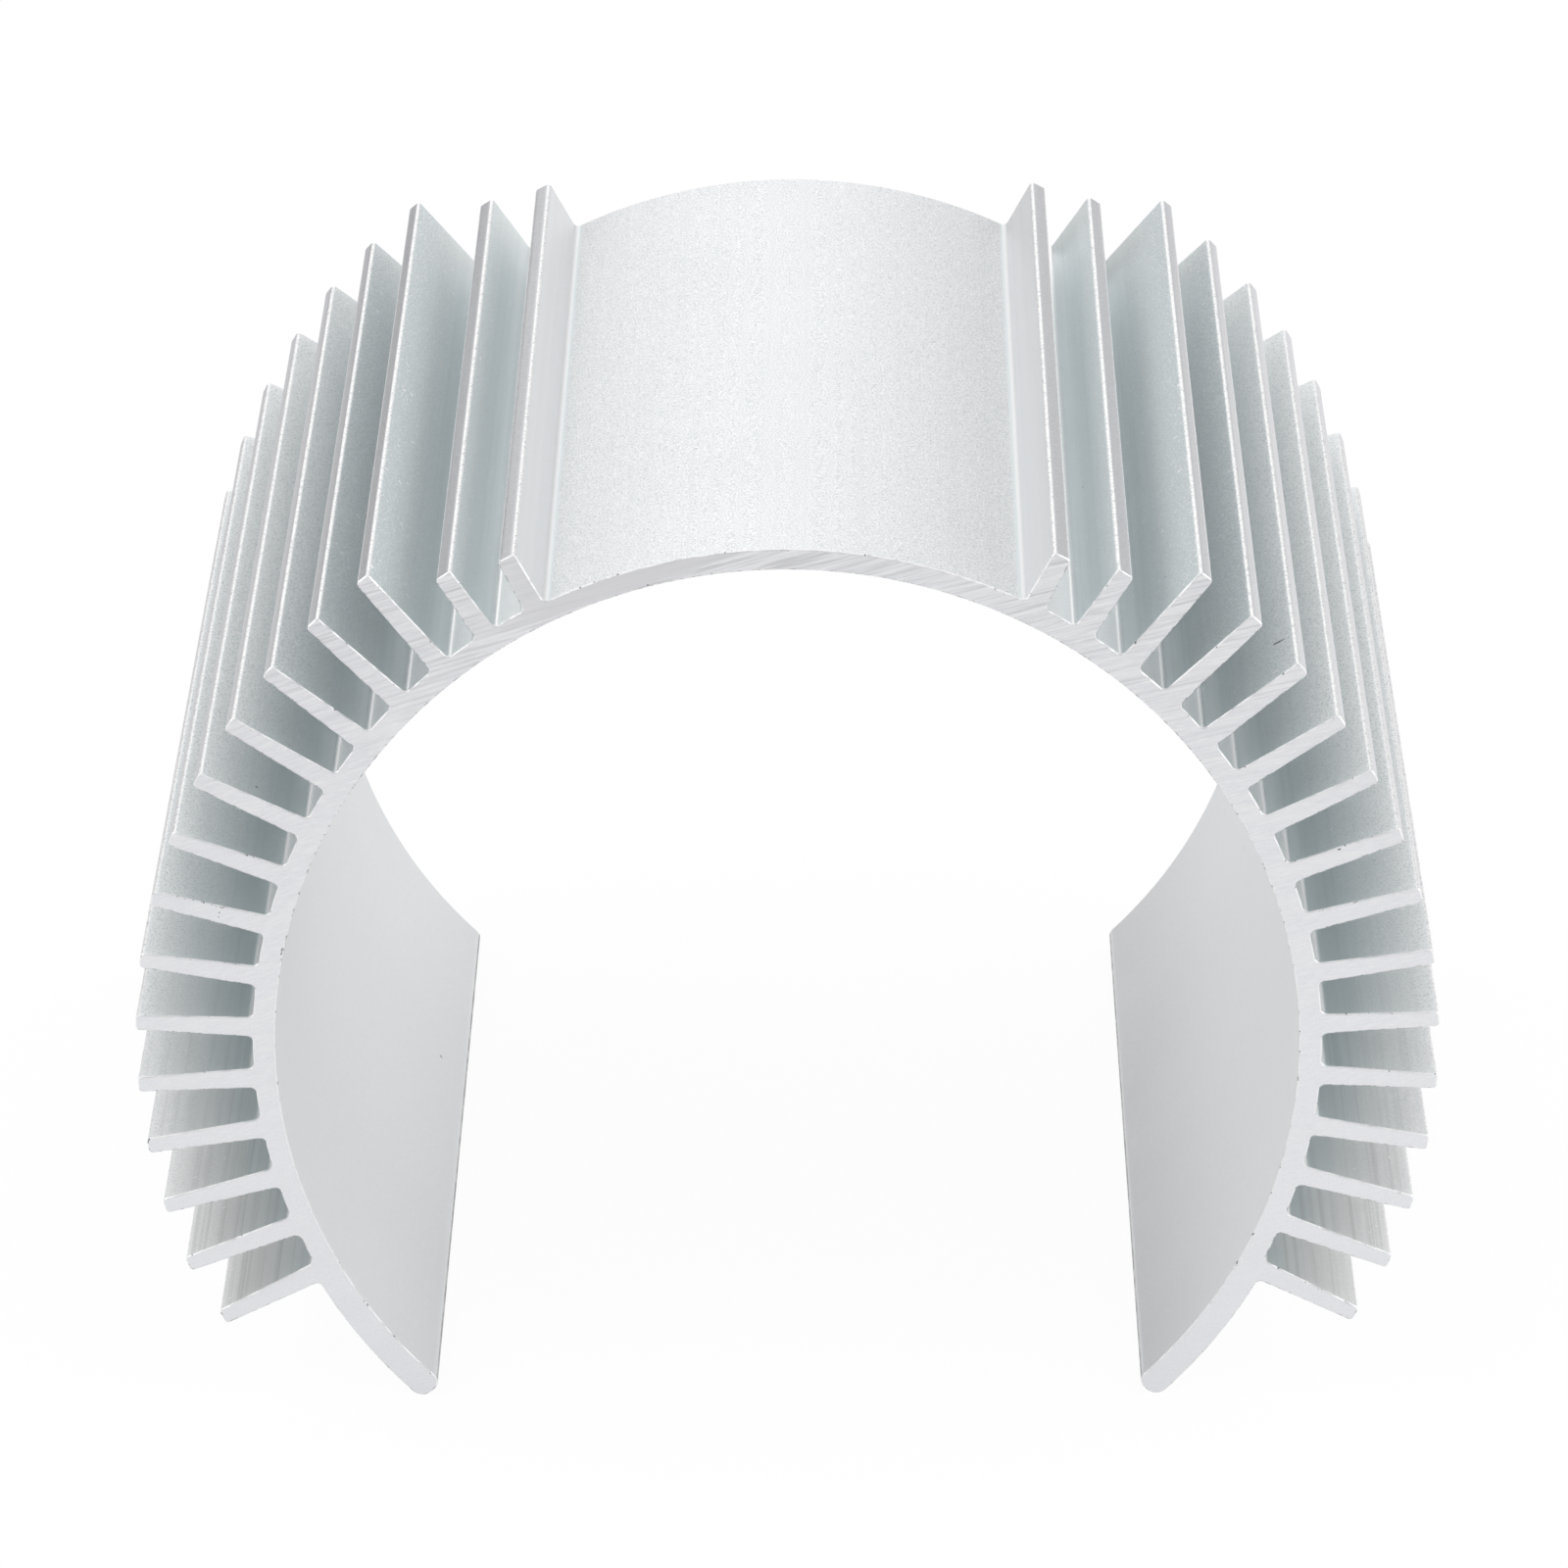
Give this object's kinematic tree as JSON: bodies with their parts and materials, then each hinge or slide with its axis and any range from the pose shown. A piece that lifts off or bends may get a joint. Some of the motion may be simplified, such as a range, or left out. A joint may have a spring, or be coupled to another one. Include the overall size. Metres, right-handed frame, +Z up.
{
  "type": "motor heat sink",
  "caption": "C-shaped extruded aluminium heat sink with tapered radial fins, a plain crown and an open mouth, which clamps round a cylindrical motor body to cool it.",
  "frame": {"origin": "on the axis of the bore, half way along its length", "axes": "+Y along the bore, +Z up through the middle of the bare crown, away from the open mouth, +X to the right side's fins"},
  "size_m": [0.1146, 0.1, 0.0808],
  "materials": {
    "extrusion": "satin silver anodised, sawn ends"
  },
  "bodies": {
    "root": {"heat_sink": "extrusion"}
  },
  "joints": []
}
